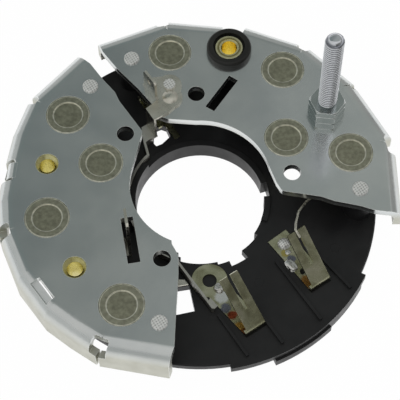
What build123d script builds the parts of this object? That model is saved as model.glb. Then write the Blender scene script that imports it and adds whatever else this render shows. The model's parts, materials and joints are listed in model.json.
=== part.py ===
from build123d import *
import math
import os

# Alternator rectifier: two bent sheet heat sinks with press-fit diodes, riveted on a moulded ring.
# Millimetres and degrees. The origin is on the bore axis at the underside of the ring's hub.
# +Z is up, towards the output stud, and angles in plan are counted from +X towards +Y.

# Moulded ring
BORE_R = 20.2
HUB_WALL = 1.9
HUB_STEPS = [((-20.0, 143.0), 6.6), ((143.0, 250.0), 8.5)]
BORE_STEPS = [(21.9, 3.5, 17.0), (21.6, 252.0, 283.5), (22.5, 283.5, 292.8), (24.4, 292.8, 306.4),
              (21.4, 306.4, 326.0)]
DECK_TOP = 5.8
DECK_T = 3.0
RING_R = 55.3
RIM_R = 56.9
RIM_T = 2.6
RIM_ANGLES = [(-81.5, -27.5), (111.5, 133.0)]
SKIRT_ANGLES = (-67.5, -30.0)
SKIRT_T = 3.2
SKIRT_STEP = 0.7
SKIRT_STEP_ANGLES = (-67.5, -47.0)
HUB_FOOT_ANGLES = (-34.0, 252.0)
POST_R = 4.4
BUSH_BOSS_R = 5.6
RIB_W = 0.9
RIB_H = 0.9
RING_EDGE = 0.4

# Heat sinks
SHEET_T = 2.5
SINK_TOP = 18.6
SINK_R = 62.8
BEND_R = 5.2
NEGATIVE_DEPTH = 13.0
POSITIVE_DEPTH = 8.8
TAB_INSET = 2.6
TAB_BEND_R = 3.2
TAB_DEPTH = 8.0
WIDEST_SLIT = 2.0
NOTCH_CORNER_R = 1.0
NEGATIVE_INNER_R = 21.6
POSITIVE_INNER_R = 22.2
PLAN_FILLET = 1.6
ROUND_HOLE_R = 2.7
NEGATIVE_SLOT = (15.5, 3.8)
POSITIVE_SLOT = (13.8, 3.3)

# Press-fit diodes
DIODE_R = 6.95
DIODE_H = 8.0
DIODE_EDGE = 0.35
DIODE_FLOOR = 2.0
DIODE_WALL = 1.2
DIODE_DISH_R = 4.7
DIODE_DISH_DEPTH = 0.35
CHIP_R = 3.2
CHIP_T = 0.5
LEAD_HEAD_R = 2.4
LEAD_HEAD_T = 0.7
LEAD_R = 0.42
SEAL_INSET = 0.8

# Fasteners and bushes
RIVET_R = 1.9
RIVET_HEAD_R = 2.45
RIVET_HEAD_T = 0.7
RIVET_SINK = 0.9
BUSH_R = 3.1
BUSH_HOLE_R = 2.4
BUSH_FLARE_R = 3.6
BUSH_RECESS = 0.3
INSULATOR_R = 7.2
INSULATOR_T = 2.6
INSULATOR_FILLET = 1.0
INSULATOR_BOSS_R = 6.8
INSULATOR_SLEEVE_R = 4.9
INSULATOR_SEAT = 3.0
EYELET_R = 3.15
EYELET_HOLE_R = 2.55
EYELET_FLANGE_R = 4.6
EYELET_FLANGE_T = 0.6
EYELET_RECESS = 1.5
EYELET_RECESS_R = 5.1
STUD_R = 3.0
STUD_HELD_R = 2.65
STUD_LENGTH = 40.0
STUD_HEAD_R = 5.6
STUD_HEAD_T = 2.6
STUD_CHAMFER = 1.3
NUT_FLATS = 10.0
NUT_TURN = -8.0
NUT_CHAMFER = 0.5
LOCKNUT_T = 3.4
NUT_T = 2.6

# Sheet terminals
CLIP_T = 0.8
CLIP_WIDTHS = [7.1, 7.1, 6.4]
LEAF_W = 6.4
CLIP_BEND = 0.8
CLIP_SLOT = (1.1, 11.5)
CLIP_CLEARANCE = 0.1
CLIP_SEAT = 0.6
CLIP_RIVET_R = 1.2
CLIP_RIVET_HEAD_R = 2.1
CLIP_RIVET_HEAD_T = 1.3
CLIP_RIVET_SETBACK = 3.5
CLIP_EYE = (2.5, -27.4)
CLIP_EYE_R = 5.6
CLIP_EYE_HOLE_R = 2.2
BLADE_W = 6.3
BLADE_T = 0.8
BLADE_RISE = 8.4
BLADE_HOLE_R = 0.9
BLADE_TIP = 1.2
BLADE_FOOT = 5.0
BUS_TOP = 9.0
BUS_T = 0.8
BUS_GROOVE = 1.0
BUS_CLEARANCE = 0.1

# Plan positions, x and y
NEGATIVE_DIODES = [(-41.2, 25.2), (-30.5, 7.6), (-46.6, -11.2), (-23.6, -40.6)]
POSITIVE_DIODES = [(-8.9, 48.0), (27.2, 40.7), (27.3, 15.5), (47.1, 9.7)]
NEGATIVE_RIVETS = [(-34.3, 35.6), (-12.5, -46.6)]
POSITIVE_RIVETS = [(-21.2, 45.9), (49.2, -3.2)]
GROUND_BUSHES = [(-47.2, 7.5), (-37.8, -28.1)]
INSULATED_BUSH = (10.2, 48.5)
STUD = (40.3, 25.2)
NEGATIVE_HOLES = [(-23.0, 17.9), (-11.7, -25.7)]
POSITIVE_HOLES = [(-0.6, 32.2), (28.6, 3.0)]
NEGATIVE_SLOT_AT = (-21.2, -19.3, -81.0)
POSITIVE_SLOT_AT = (7.5, 32.2, 55.6)
LEAD_WINDOW = (28.8, 10.6, 3.6)

# Flanges round each heat sink: corners of the chords between two slits, as angle and set-in from SINK_R
NEGATIVE_FLANGES = [[(129.0, 0.0), (148.6, -0.5)],
                    [(149.4, -0.5), (161.5, 0.7), (173.8, 1.2)],
                    [(174.6, 1.0), (184.0, 0.0), (193.7, -0.6)],
                    [(194.5, -0.7), (209.2, -0.8), (222.5, -0.8), (231.0, 0.0), (239.8, 0.0)],
                    [(240.7, 0.0), (260.5, 0.0)]]
POSITIVE_FLANGES = [[(-10.2, 0.0), (11.2, 0.0)],
                    [(12.2, -1.1), (34.6, 0.9)],
                    [(35.4, 0.4), (55.2, 0.0)],
                    [(56.2, 0.4), (74.5, 1.2)],
                    [(82.0, 2.2), (99.6, -0.5)],
                    [(101.4, 0.0), (121.2, 0.0)]]

# A tab bent down in one notch, and a slit pocket in one bend with its section from the skirt's outer face
TAB = [(171.8, TAB_INSET), (177.0, TAB_INSET)]
POCKET_CHORD = NEGATIVE_FLANGES[3][1:3]
POCKET_ANGLES = (212.9, 221.0)
POCKET_SECTION = [(-2.5, 19.6), (-2.6, 17.6), (-3.0, 16.9), (-5.1, 17.5), (-5.1, 14.5), (-5.8, 14.5),
                  (-5.8, 19.6)]

# Notches across the bends: start and end angle, depth in from SINK_R and lowest point
NEGATIVE_NOTCHES = [(147.6, 150.4, 3.2, 5.0), (170.6, 177.9, 5.2, 10.5), (191.9, 196.2, 3.1, 13.0),
                    (237.7, 242.7, 4.1, 12.5)]
POSITIVE_NOTCHES = [(9.4, 15.4, 3.0, 9.0), (33.9, 36.1, 3.2, 13.0), (53.6, 57.6, 3.6, 13.0),
                    (98.6, 102.4, 3.0, 13.0)]

# Inner outlines of the heat sinks, between their first and last flange
NEGATIVE_END_OUTLINE = [(-7.6, -43.1), (-6.8, -31.0), (-6.8, -24.6), (-8.7, -20.9)]
NEGATIVE_TOP_OUTLINE = [(-17.6, 18.6), (-25.0, 29.9), (-26.5, 33.4), (-30.5, 38.4), (-34.6, 44.4)]
NEGATIVE_ARC_ANGLES = (246.0, 164.0)
POSITIVE_TOP_OUTLINE = [(-26.0, 42.4), (-19.0, 34.4), (-14.5, 28.4), (-12.0, 23.9), (-9.6, 23.0)]
POSITIVE_END_OUTLINE = [(23.6, -0.4), (25.2, -3.4), (37.0, -5.6), (41.0, -7.2), (49.0, -9.1), (53.0, -10.6)]
POSITIVE_ARC_ANGLES = (92.0, 14.0)

# Folded terminals: x and y of the bend's centre, direction of base and of leaf, rise and both lengths
PHASE_CLIPS = [(35.5, -28.4, -53.5, -56.8, 39.0, 19.8, 17.7),
               (15.2, -42.8, -49.5, -56.6, 33.4, 20.0, 17.2),
               (-16.2, 38.9, 121.3, 121.3, 24.0, 11.5, 12.0)]
EYE_CLIP = 1
TONGUE_CLIP = 2
TONGUE = (6.5, 2.0)
NEUTRAL_OUTLINE = [(-12.6, -27.0), (-5.2, -27.2), (-4.0, -28.8), (-10.4, -29.8), (-11.0, -36.0), (-15.0, -36.0)]
NEUTRAL_RIVET = (-12.7, -31.5)
DECK_WINDOWS = [[(-10.2, -29.9), (-3.7, -28.9), (-2.1, -37.4), (-9.8, -39.0)],
                [(-14.6, 21.6), (-13.7, 20.6), (-11.9, 21.4), (-9.2, 24.2), (-10.6, 27.7), (-12.2, 28.4),
                  (-14.6, 27.4)]]
BUS_ARCS = [(136.0, 205.0), (212.0, 249.5)]
BUS_RUNS = [[(-15.0, 22.6), (-17.4, 20.5)], [(3.4, -37.9)]]
BUS_TABS = [[(-18.4, 25.9), (-16.0, 27.4), (-13.2, 22.8), (-15.0, 21.6), (-17.8, 20.5)],
            [(2.0, -35.5), (2.6, -34.5), (4.9, -37.2), (3.6, -38.3)]]
BUS_TAB_T = 0.8
SPADE_RIVET = (-9.1, 35.2)
SPADE_DIMPLE = (-8.9, 30.7)
SPADE_LOBE_R = 3.9
SPADE_DIMPLE_R = 2.5
SPADE_DIMPLE_H = 0.8
SPADE_RIVET_HEAD_R = 1.9
SPADE_FOOT = [(-17.2, 36.2), (-12.9, 29.9)]
SPADE_DROP = [(-16.3, 26.8), (-13.7, 22.5)]
SPADE_OUTLINE = [(-9.1, 38.7), (-14.9, 38.0), (-17.2, 36.2), (-12.9, 29.9), (-14.7, 28.1), (-16.3, 26.8),
                 (-13.7, 22.5), (-10.9, 24.1), (-9.4, 25.0), (-6.2, 28.4)]
BLADE_FOOT_LINE = [(-22.7, -12.4), (-21.72, -18.6)]
LEAD_DIP = 8.4
LEAD_ROUTE = [(36.5, -0.6, 10.5), (33.1, -4.1, 13.0), (30.2, -8.9, 15.3), (29.0, -14.2, 17.8),
              (28.7, -17.4, 19.3), (29.95, -19.3, 18.2)]
LEAD_TURN = 1.2
DECK_RIBS = [((4.9, -39.1), (13.4, -52.5)), ((15.6, -35.6), (24.1, -48.6)),
             ((23.0, -21.4), (35.9, -41.1)), ((34.2, -16.7), (45.5, -30.8))]


def polar(radius, angle):
    turn = math.radians(angle)
    return radius * math.cos(turn), radius * math.sin(turn)


def disc(x, y, radius, low, high):
    return Pos(x, y, low) * Cylinder(radius, high - low, align=(Align.CENTER, Align.CENTER, Align.MIN))


def prism(points, low, high):
    return Pos(0, 0, low) * extrude(make_face(Polyline(*points, close=True)), high - low)


def bar(x, y, angle, length, width, low, high):
    block = Box(length, width, high - low, align=(Align.CENTER, Align.CENTER, Align.MIN))
    return Pos(x, y, low) * Rot(0, 0, angle) * block


def sector(inner, outer, start, end, low, high):
    middle = (start + end) / 2
    edges = [ThreePointArc(polar(outer, start), polar(outer, middle), polar(outer, end)),
             Line(polar(outer, end), polar(inner, end)),
             ThreePointArc(polar(inner, end), polar(inner, middle), polar(inner, start)),
             Line(polar(inner, start), polar(outer, start))]
    return Pos(0, 0, low) * extrude(make_face(edges), high - low)


def ribbon(points, thickness, low, high):
    """An upright strip that follows points in plan, rounded where it turns."""
    strip = Part()
    for (x0, y0), (x1, y1) in zip(points, points[1:]):
        angle = math.degrees(math.atan2(y1 - y0, x1 - x0))
        length = math.hypot(x1 - x0, y1 - y0)
        strip += bar((x0 + x1) / 2, (y0 + y1) / 2, angle, length, thickness, low, high)
    for x, y in points[1:-1]:
        strip += disc(x, y, thickness / 2, low, high)
    return strip


def chords(flanges):
    """The chords between neighbouring corners, each as its first and its last corner."""
    return [pair for corners in flanges for pair in zip(corners, corners[1:])]


def chord_ends(chord):
    """Both ends of a chord in plan and its outward direction."""
    first, last = [polar(SINK_R - inset, angle) for angle, inset in chord]
    length = math.dist(first, last)
    return first, last, ((last[1] - first[1]) / length, (first[0] - last[0]) / length)


def along_chord(chord, section, spare=0):
    """A section drawn outwards along +X from the chord, extruded past both its ends by a spare length."""
    first, last, outward = chord_ends(chord)
    along = (outward[1], -outward[0])
    x, y = last[0] - spare * along[0], last[1] - spare * along[1]
    plane = Plane(origin=(x, y, 0), x_dir=(*outward, 0), z_dir=(*along, 0))
    return extrude(plane * make_face(section), math.dist(first, last) + 2 * spare)


def bend_profile(bend_r, depth):
    """Section of a flange, outwards along +X from the skirt's outer face: a quarter bend and the skirt."""
    inner_r = bend_r - SHEET_T
    foot = SINK_TOP - depth
    corner = math.sqrt(0.5)
    centre_z = SINK_TOP - bend_r
    return [Line((-bend_r, SINK_TOP), (-bend_r, SINK_TOP - SHEET_T)),
            ThreePointArc((-bend_r, SINK_TOP - SHEET_T),
                          (-bend_r + inner_r * corner, centre_z + inner_r * corner),
                          (-SHEET_T, centre_z)),
            Line((-SHEET_T, centre_z), (-SHEET_T, foot)),
            Line((-SHEET_T, foot), (0, foot)),
            Line((0, foot), (0, centre_z)),
            ThreePointArc((0, centre_z), (-bend_r + bend_r * corner, centre_z + bend_r * corner),
                          (-bend_r, SINK_TOP))]


def bend_line(chord):
    """The two ends of the line where a heat sink's flange starts to bend."""
    first, last, outward = chord_ends(chord)
    return [(x - BEND_R * outward[0], y - BEND_R * outward[1]) for x, y in (first, last)]


def crossing(first_line, second_line):
    (ax, ay), (bx, by) = first_line
    (cx, cy), (dx, dy) = second_line
    across = (bx - ax) * (dy - cy) - (by - ay) * (dx - cx)
    share = ((cx - ax) * (dy - cy) - (cy - ay) * (dx - cx)) / across
    return ax + share * (bx - ax), ay + share * (by - ay)


def flat_corners(flanges):
    """Both corners of each chord's flange on the flat, shared where two meet or have a slit between them."""
    pairs = chords(flanges)
    lines = [bend_line(chord) for chord in pairs]
    corners = [list(line) for line in lines]
    for index in range(len(pairs) - 1):
        if pairs[index + 1][0][0] - pairs[index][1][0] < WIDEST_SLIT:
            shared = crossing(lines[index], lines[index + 1])
            corners[index][1] = corners[index + 1][0] = shared
    return corners


def flat_sheet(before, arc_radius, arc_angles, after, flanges):
    """The flat of a heat sink: bend lines outside, then the inner outline before and after the bore's arc."""
    outer = []
    for pair in flat_corners(flanges):
        outer += [corner for corner in pair if corner not in outer]
    start, end = arc_angles
    arc = ThreePointArc(polar(arc_radius, start), polar(arc_radius, (start + end) / 2), polar(arc_radius, end))
    edges = [Polyline(*outer),
             FilletPolyline(outer[-1], *before, polar(arc_radius, start), radius=PLAN_FILLET),
             arc,
             FilletPolyline(polar(arc_radius, end), *after, outer[0], radius=PLAN_FILLET)]
    return Pos(0, 0, SINK_TOP - SHEET_T) * extrude(make_face(edges), SHEET_T)


def with_flanges(sheet, flanges, depth, notches):
    """Adds the bent-down flanges, mitred where they meet, and cuts the notches across them."""
    for chord, (first_corner, last_corner) in zip(chords(flanges), flat_corners(flanges)):
        first, last, outward = chord_ends(chord)
        bent = along_chord(chord, bend_profile(BEND_R, depth), BEND_R)
        sheet += bent & prism([first_corner, first, last, last_corner], SINK_TOP - depth, SINK_TOP)
    for start, end, inset, low in notches:
        cut = sector(SINK_R - inset, SINK_R + WIDEST_SLIT, start, end, low, SINK_TOP + 1)
        inner_corners = cut.edges().filter_by(Axis.Z).sort_by_distance((0, 0, low))[:2]
        sheet -= fillet(inner_corners, NOTCH_CORNER_R)
    return sheet


def sheet_hole(x, y, radius):
    return disc(x, y, radius, SINK_TOP - SHEET_T - 1, SINK_TOP + 1)


def sheet_slot(place, size):
    x, y, angle = place
    return bar(x, y, angle, *size, SINK_TOP - SHEET_T - 1, SINK_TOP + 1)


def bush_flare(x, y, radius):
    """The cone between the bush's tube and its flared lip, which seats in the sheet's countersink."""
    top = SINK_TOP - BUSH_RECESS
    height = BUSH_FLARE_R - BUSH_R
    return Pos(x, y, top - height) * Cone(radius - height, radius, height,
                                         align=(Align.CENTER, Align.CENTER, Align.MIN))


def negative_heat_sink():
    sheet = flat_sheet(NEGATIVE_END_OUTLINE, NEGATIVE_INNER_R, NEGATIVE_ARC_ANGLES, NEGATIVE_TOP_OUTLINE,
                       NEGATIVE_FLANGES)
    sheet = with_flanges(sheet, NEGATIVE_FLANGES, NEGATIVE_DEPTH, NEGATIVE_NOTCHES)
    sheet += along_chord(TAB, bend_profile(TAB_BEND_R, TAB_DEPTH))
    pocket = along_chord(POCKET_CHORD, Polyline(*POCKET_SECTION, close=True))
    sheet -= pocket & sector(NEGATIVE_INNER_R, SINK_R, *POCKET_ANGLES, 0, SINK_TOP + 1)
    for x, y in NEGATIVE_DIODES:
        sheet -= sheet_hole(x, y, DIODE_R)
    for x, y in NEGATIVE_HOLES:
        sheet -= sheet_hole(x, y, ROUND_HOLE_R)
    for x, y in NEGATIVE_RIVETS:
        sheet -= sheet_hole(x, y, RIVET_R)
    for x, y in GROUND_BUSHES:
        sheet -= sheet_hole(x, y, BUSH_R)
        sheet -= bush_flare(x, y, BUSH_FLARE_R)
        sheet -= disc(x, y, BUSH_FLARE_R, SINK_TOP - BUSH_RECESS, SINK_TOP + 1)
    return sheet - sheet_slot(NEGATIVE_SLOT_AT, NEGATIVE_SLOT)


def positive_heat_sink():
    sheet = flat_sheet(POSITIVE_TOP_OUTLINE, POSITIVE_INNER_R, POSITIVE_ARC_ANGLES, POSITIVE_END_OUTLINE,
                       POSITIVE_FLANGES)
    sheet = with_flanges(sheet, POSITIVE_FLANGES, POSITIVE_DEPTH, POSITIVE_NOTCHES)
    for x, y in POSITIVE_DIODES:
        sheet -= sheet_hole(x, y, DIODE_R)
    for x, y in POSITIVE_HOLES:
        sheet -= sheet_hole(x, y, ROUND_HOLE_R)
    for x, y in POSITIVE_RIVETS:
        sheet -= sheet_hole(x, y, RIVET_R)
    sheet -= sheet_hole(*INSULATED_BUSH, INSULATOR_SLEEVE_R)
    sheet -= sheet_hole(*STUD, STUD_HELD_R)
    sheet -= sheet_hole(*SPADE_RIVET, CLIP_RIVET_R)
    return sheet - sheet_slot(POSITIVE_SLOT_AT, POSITIVE_SLOT)


def turned_at(x, y, direction):
    """Puts what is drawn along +X about the origin at a plan position and direction."""
    return Pos(x, y, 0) * Rot(0, 0, direction)


def clip_seats():
    """Shallow recesses in the deck for the bases of the clips."""
    cut = Part()
    floor = DECK_TOP - CLIP_SEAT
    spare = 2 * CLIP_CLEARANCE
    for number, (x, y, direction, leaf, rise, base, length) in enumerate(PHASE_CLIPS):
        width = CLIP_WIDTHS[number] + spare
        seat = Box(base + spare, width, DECK_TOP, align=(Align.MAX, Align.CENTER, Align.MIN))
        bend = Box(4 * CLIP_BEND, width, DECK_TOP)
        cut += turned_at(x, y, direction) * Pos(CLIP_CLEARANCE, 0, floor) * seat
        cut += turned_at(x, y, leaf) * Pos(CLIP_BEND / 2, 0, floor + DECK_TOP / 2) * bend
    cut += disc(*CLIP_EYE, CLIP_EYE_R + CLIP_CLEARANCE, floor, DECK_TOP + floor)
    return cut + clip_tongue(spare, floor, DECK_TOP + floor)


def clip_end(number, setback=0):
    """Centre of a clip's inner end, or a point set back from it along the base."""
    x, y, direction, leaf, rise, base, length = PHASE_CLIPS[number]
    dx, dy = polar(base - setback, direction)
    return x - dx, y - dy


def clip_tongue(spare, low, high):
    """The narrow strip that one clip's base ends in, beside the deck's window."""
    length, width = TONGUE
    x, y = clip_end(TONGUE_CLIP, -length / 2)
    return bar(x, y, PHASE_CLIPS[TONGUE_CLIP][2], length + spare, width + spare, low, high)


def deck_rivet_places():
    places = [clip_end(number, CLIP_RIVET_SETBACK) for number in range(len(PHASE_CLIPS)) if number != EYE_CLIP]
    return [*places, NEUTRAL_RIVET]


def ring_bosses():
    """Posts under the rivets and bosses round the three screw bushes, from the floor to the sheets."""
    under = SINK_TOP - SHEET_T
    bosses = Part()
    for x, y in NEGATIVE_RIVETS + POSITIVE_RIVETS:
        bosses += disc(x, y, POST_R, 0, under)
    for x, y in GROUND_BUSHES:
        bosses += disc(x, y, BUSH_BOSS_R, 0, under)
    return bosses + disc(*INSULATED_BUSH, INSULATOR_BOSS_R, 0, under)


def ring_cuts():
    under = SINK_TOP - SHEET_T
    cuts = disc(0, 0, BORE_R, -1, SINK_TOP)
    for radius, start, end in BORE_STEPS:
        cuts += sector(BORE_R - 1, radius, start, end, -1, SINK_TOP)
    for x, y in NEGATIVE_RIVETS + POSITIVE_RIVETS:
        cuts += disc(x, y, RIVET_R, -1, under + 1)
        cuts += disc(x, y, RIVET_HEAD_R, -1, RIVET_SINK + RIVET_HEAD_T)
    for x, y in GROUND_BUSHES:
        cuts += disc(x, y, BUSH_R, -1, under + 1)
    cuts += disc(*INSULATED_BUSH, EYELET_R, -1, under + 1)
    cuts += disc(*INSULATED_BUSH, INSULATOR_SLEEVE_R, under - INSULATOR_SEAT, under + 1)
    return cuts


def base_ring():
    deck_floor = DECK_TOP - DECK_T
    deck = disc(0, 0, RING_R, deck_floor, DECK_TOP)
    outer_edges = deck.edges().filter_by(GeomType.CIRCLE)
    ring = chamfer(outer_edges, RING_EDGE)
    ring += sector(BORE_R - 1, BORE_R + HUB_WALL, *HUB_FOOT_ANGLES, 0, DECK_TOP)
    for angles, top in HUB_STEPS:
        ring += sector(BORE_R - 1, BORE_R + HUB_WALL, *angles, 0, top)
    for start, end in RIM_ANGLES:
        ring += sector(RING_R - 2, RIM_R, start, end, DECK_TOP - RIM_T, DECK_TOP)
    ring += sector(RIM_R - SKIRT_T, RIM_R, *SKIRT_ANGLES, 0, DECK_TOP)
    ring += sector(RIM_R - SKIRT_T, RIM_R + SKIRT_STEP, *SKIRT_STEP_ANGLES, 0, DECK_TOP - RIM_T)
    for first, last in DECK_RIBS:
        ring += ribbon([first, last], RIB_W, DECK_TOP - 1, DECK_TOP + RIB_H)
    ring += ring_bosses()
    ring -= ring_cuts()
    ring -= clip_seats()
    for outline in DECK_WINDOWS:
        ring -= prism(outline, -1, DECK_TOP + 1)
    for x, y in deck_rivet_places():
        ring -= disc(x, y, CLIP_RIVET_R, -1, DECK_TOP + 1)
    x, y, radius = LEAD_WINDOW
    ring -= disc(x, y, radius, -1, DECK_TOP + 1)
    return ring - bus_grooves() - lead_holes()


def bus_path(number):
    """Plan of a bus strip: an arc outside the hub, then straight runs to its free end."""
    middle_r = BORE_R + HUB_WALL + BUS_CLEARANCE + BUS_T / 2
    start, end = BUS_ARCS[number]
    leaves = start if number == 0 else end
    return middle_r, start, end, [*BUS_RUNS[number], polar(middle_r, leaves)]


def bus_shape(number, thickness, low, high):
    middle_r, start, end, run = bus_path(number)
    arc = sector(middle_r - thickness / 2, middle_r + thickness / 2, start, end, low, high)
    return arc + ribbon(run, thickness, low, high) + disc(*run[-1], thickness / 2, low, high)


def bus_grooves():
    groove = BUS_T + 2 * BUS_CLEARANCE
    cut = Part()
    for number in range(len(BUS_ARCS)):
        cut += bus_shape(number, groove, DECK_TOP - BUS_GROOVE, DECK_TOP + BUS_GROOVE)
    return cut


def bus_strip(number):
    """An upright strip in the deck's groove with a flat tab; its lower edge passes over the clip's eye."""
    strip = bus_shape(number, BUS_T, DECK_TOP - BUS_GROOVE, BUS_TOP)
    strip += prism(BUS_TABS[number], BUS_TOP - BUS_TAB_T, BUS_TOP)
    return strip - disc(*CLIP_EYE, CLIP_EYE_R + CLIP_CLEARANCE, 0, DECK_TOP - CLIP_SEAT + CLIP_T)


def lead_holes():
    cut = Part()
    for x, y in NEGATIVE_DIODES + POSITIVE_DIODES[:-1]:
        cut += disc(x, y, LEAD_R, -1, DECK_TOP + 1)
    return cut


def diode_cup(x, y):
    """The pressed-in can: its closed face is level with the sheet, with a round dish in the middle."""
    floor = SINK_TOP - DIODE_H
    cup = disc(x, y, DIODE_R, floor, SINK_TOP)
    cup = chamfer(cup.edges().filter_by(GeomType.CIRCLE).group_by(Axis.Z)[-1], DIODE_EDGE)
    cup -= disc(x, y, DIODE_DISH_R, SINK_TOP - DIODE_DISH_DEPTH, SINK_TOP + 1)
    return cup - disc(x, y, DIODE_R - DIODE_WALL, floor - 1, SINK_TOP - DIODE_FLOOR)


def diode_chip(x, y):
    seat = SINK_TOP - DIODE_FLOOR
    return disc(x, y, CHIP_R, seat - CHIP_T, seat)


def lead_base():
    return SINK_TOP - DIODE_FLOOR - CHIP_T


def diode_seal(x, y):
    """Potting round the chip and the lead's head, level with the can's mouth but for a small inset."""
    low = SINK_TOP - DIODE_H + SEAL_INSET
    seal = disc(x, y, DIODE_R - DIODE_WALL, low, SINK_TOP - DIODE_FLOOR)
    seal -= disc(x, y, CHIP_R, SINK_TOP - DIODE_FLOOR - CHIP_T, SINK_TOP)
    seal -= disc(x, y, LEAD_HEAD_R, lead_base() - LEAD_HEAD_T, lead_base())
    return seal - disc(x, y, LEAD_R, low - 1, lead_base())


def lead_head(x, y):
    return disc(x, y, LEAD_HEAD_R, lead_base() - LEAD_HEAD_T, lead_base())


def straight_lead(x, y):
    """A lead with a nail head on the chip, straight down into the deck."""
    return lead_head(x, y) + disc(x, y, LEAD_R, DECK_TOP - DECK_T, lead_base() - LEAD_HEAD_T)


def bent_lead(x, y):
    """The last positive lead: out from under the sheet and into the slot of the first clip's leaf."""
    top = lead_base() - LEAD_HEAD_T
    route = [(x, y, top), (x, y, LEAD_DIP), *LEAD_ROUTE]
    path = FilletPolyline(*route, radius=LEAD_TURN)
    start = Plane(origin=route[0], z_dir=(0, 0, -1))
    return lead_head(x, y) + sweep(start * Circle(LEAD_R), path)


def heat_sink_rivets():
    """Four staked rivets through the sheets and the ring's posts."""
    rivets = []
    for x, y in NEGATIVE_RIVETS + POSITIVE_RIVETS:
        rivet = disc(x, y, RIVET_R, RIVET_SINK, SINK_TOP)
        head = disc(x, y, RIVET_HEAD_R, SINK_TOP, SINK_TOP + RIVET_HEAD_T)
        rivet += chamfer(head.edges().group_by(Axis.Z)[-1], RIVET_HEAD_T * 0.4)
        rivets.append(rivet + disc(x, y, RIVET_HEAD_R, RIVET_SINK, RIVET_SINK + RIVET_HEAD_T))
    return Compound(rivets)


def ground_bush(x, y):
    """A brass tube whose lip is flared into the sheet's countersink, coned inside as well."""
    top = SINK_TOP - BUSH_RECESS
    bush = disc(x, y, BUSH_R, 0, top) + bush_flare(x, y, BUSH_FLARE_R)
    bush -= disc(x, y, BUSH_HOLE_R, -1, top + 1)
    mouth_r = BUSH_FLARE_R - 0.3
    depth = mouth_r - BUSH_HOLE_R
    return bush - Pos(x, y, top - depth) * Cone(BUSH_HOLE_R, mouth_r, depth,
                                                align=(Align.CENTER, Align.CENTER, Align.MIN))


def insulating_bush():
    """A moulded collar on the positive sheet, recessed for the eyelet, its sleeve seated in the ring's boss."""
    x, y = INSULATED_BUSH
    seat = SINK_TOP - SHEET_T - INSULATOR_SEAT
    top = SINK_TOP + INSULATOR_T
    collar = disc(x, y, INSULATOR_R, SINK_TOP, top)
    collar = fillet(collar.edges().filter_by(GeomType.CIRCLE).group_by(Axis.Z)[-1], INSULATOR_FILLET)
    collar += disc(x, y, INSULATOR_SLEEVE_R, seat, SINK_TOP)
    collar -= disc(x, y, EYELET_RECESS_R, top - EYELET_RECESS, top + 1)
    return collar - disc(x, y, EYELET_R, seat - 1, top + 1)


def bush_eyelet():
    """The brass tube through the insulated bush, rolled over in the collar's recess."""
    x, y = INSULATED_BUSH
    low = SINK_TOP + INSULATOR_T - EYELET_RECESS
    high = low + EYELET_FLANGE_T
    flange_disc = disc(x, y, EYELET_FLANGE_R, low, high)
    eyelet = chamfer(flange_disc.edges().group_by(Axis.Z)[-1], EYELET_FLANGE_T * 0.4)
    eyelet += disc(x, y, EYELET_R, 0, high)
    eyelet -= disc(x, y, EYELET_HOLE_R, -1, high + 1)
    return eyelet - disc(x, y, EYELET_R, high - EYELET_FLANGE_T / 2, high + 1)


def output_stud():
    """Held at the thread's mean radius in the sheet and both nuts, full size at the free end."""
    x, y = STUD
    under = SINK_TOP - SHEET_T
    nuts_top = SINK_TOP + LOCKNUT_T + NUT_T
    free_end = disc(x, y, STUD_R, nuts_top, SINK_TOP + STUD_LENGTH)
    free_end = chamfer(free_end.edges().filter_by(GeomType.CIRCLE).group_by(Axis.Z)[-1], STUD_CHAMFER)
    stud = free_end + disc(x, y, STUD_HELD_R, under, nuts_top)
    return stud + disc(x, y, STUD_HEAD_R, under - STUD_HEAD_T, under)


def hexagon_nut(low, thickness):
    """A nut on the stud, with its corners turned off above and below."""
    x, y = STUD
    corner_r = NUT_FLATS / math.sqrt(3)
    hexagon = extrude(RegularPolygon(corner_r, 6), thickness)
    turned = Cylinder(corner_r, thickness, align=(Align.CENTER, Align.CENTER, Align.MIN))
    turned = chamfer(turned.edges().filter_by(GeomType.CIRCLE), NUT_CHAMFER)
    nut = Pos(x, y, low) * Rot(0, 0, NUT_TURN) * (hexagon & turned)
    return nut - disc(x, y, STUD_HELD_R, low - 1, low + thickness + 1)


def clip_leaf_profile(rise, length):
    """Side view along +X of a clip's bend, centred on the origin, and of the leaf that rises back."""
    low = DECK_TOP - CLIP_SEAT
    outer, inner = CLIP_BEND + CLIP_T, CLIP_BEND
    final = math.radians(90 - rise)
    half = (final - math.pi / 2) / 2
    back_x, back_z = polar(1, 180 - rise)

    def on_bend(radius, turn):
        return radius * math.cos(turn), low + outer + radius * math.sin(turn)

    outer_end, inner_end = on_bend(outer, final), on_bend(inner, final)
    outer_tip = (outer_end[0] + length * back_x, outer_end[1] + length * back_z)
    inner_tip = (inner_end[0] + length * back_x, inner_end[1] + length * back_z)
    return [Line((-CLIP_BEND, low), (0, low)),
            ThreePointArc((0, low), on_bend(outer, half), outer_end),
            Line(outer_end, outer_tip),
            Line(outer_tip, inner_tip),
            Line(inner_tip, inner_end),
            ThreePointArc(inner_end, on_bend(inner, half), (0, low + CLIP_T)),
            Line((0, low + CLIP_T), (-CLIP_BEND, low + CLIP_T)),
            Line((-CLIP_BEND, low + CLIP_T), (-CLIP_BEND, low))]


def clip_slot(rise, length, side):
    """The slot in the leaf, open at its free end, as a cutter that stays above the base."""
    width, depth = CLIP_SLOT
    reach = math.cos(math.radians(rise))
    tip = (CLIP_BEND + CLIP_T) * math.sin(math.radians(rise)) - length * reach
    cutter = Box(depth * reach + 2, width, SINK_TOP, align=(Align.MIN, Align.CENTER, Align.MIN))
    return Pos(tip - 2, side, DECK_TOP + CLIP_T) * cutter


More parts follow.
